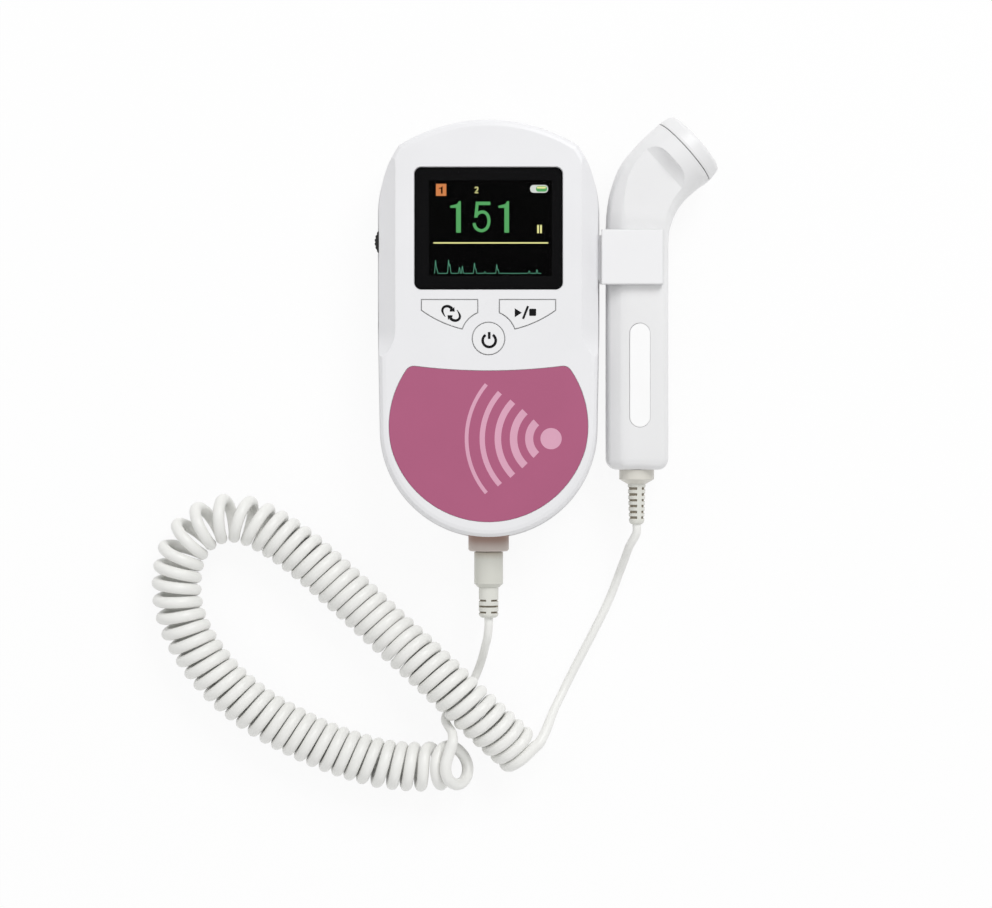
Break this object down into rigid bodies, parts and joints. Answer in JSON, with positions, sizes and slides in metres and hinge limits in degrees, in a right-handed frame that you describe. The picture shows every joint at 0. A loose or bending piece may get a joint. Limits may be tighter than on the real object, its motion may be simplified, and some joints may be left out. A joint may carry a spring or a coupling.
{
  "type": "fetal doppler monitor",
  "caption": "Pocket fetal heart-rate doppler: a display unit with push buttons, a bent hand probe in a side clip and a curly cord between them.",
  "frame": {"origin": "middle of the flat back of the unit, on its vertical centre line", "axes": "+Z out of the display, +Y towards the top of the unit, +X towards the probe"},
  "size_m": [0.1847, 0.22, 0.0282],
  "materials": {
    "case_white": "satin",
    "glass_black": "polished",
    "display": "matt",
    "label_pink": "satin",
    "board_green": "matt",
    "black_plastic": "matt",
    "steel": "plain",
    "gold": "plain",
    "cell": "gloss",
    "ivory": "satin",
    "cord": "satin",
    "ceramic": "matt",
    "lens_grey": "satin",
    "label_white": "matt"
  },
  "bodies": {
    "unit": {"front_cover": "case_white", "rear_cover": "case_white", "display_lens": "glass_black", "display_module": "display", "display_frame": "black_plastic", "front_label": "label_pink", "tact_switches": "black_plastic", "main_board": "board_green", "board_screws": "steel", "case_screws": "steel", "speaker": "black_plastic", "volume_potentiometer": "black_plastic", "earphone_jack": "black_plastic", "probe_socket": "ivory", "battery_upper": "cell", "battery_lower": "cell", "battery_springs": "steel", "battery_contacts": "steel", "probe_holder": "case_white", "holder_screws": "steel", "plug_lead": "cord", "coiled_cord": "cord", "probe_lead": "cord"},
    "mode_button": {"mode_button": "case_white"},
    "start_stop_button": {"start_stop_button": "case_white"},
    "power_button": {"power_button": "case_white"},
    "volume_wheel": {"volume_wheel": "black_plastic", "volume_spindle": "steel"},
    "battery_door": {"battery_door": "case_white"},
    "probe": {"probe_front_shell": "case_white", "probe_rear_shell": "case_white", "probe_cap": "case_white", "acoustic_lens": "lens_grey", "transmit_crystal": "ceramic", "receive_crystal": "ceramic", "crystal_backing": "black_plastic", "probe_board": "board_green", "probe_label": "label_white", "probe_screws": "steel", "cable_collar": "ivory", "probe_boot": "cord"},
    "plug": {"plug_body": "ivory", "plug_pins": "gold", "plug_boot": "cord"}
  },
  "joints": [
    {"name": "mode_press", "type": "slide", "parent": "unit", "child": "mode_button", "axis": [0, 0, -1], "range_m": [0, 0.0006], "stiffness_N_per_m": 400},
    {"name": "start_stop_press", "type": "slide", "parent": "unit", "child": "start_stop_button", "axis": [0, 0, -1], "range_m": [0, 0.0006], "stiffness_N_per_m": 400},
    {"name": "power_press", "type": "slide", "parent": "unit", "child": "power_button", "axis": [0, 0, -1], "range_m": [0, 0.0006], "stiffness_N_per_m": 400},
    {"name": "volume_turn", "type": "hinge", "parent": "unit", "child": "volume_wheel", "pos_m": [-0.0308, 0.0289, 0.015], "axis": [0, 0, 1], "range_deg": [-150, 150]},
    {"name": "battery_door_slide", "type": "slide", "parent": "unit", "child": "battery_door", "axis": [0, -1, 0], "range_m": [0, 0.036]},
    {"name": "probe_pull", "type": "slide", "parent": "unit", "child": "probe", "axis": [1, 0, 0], "range_m": [0, 0.028], "deforming": ["probe_lead"]},
    {"name": "plug_pull", "type": "slide", "parent": "unit", "child": "plug", "axis": [0, -1, 0], "range_m": [0, 0.009], "deforming": ["plug_lead"]}
  ]
}
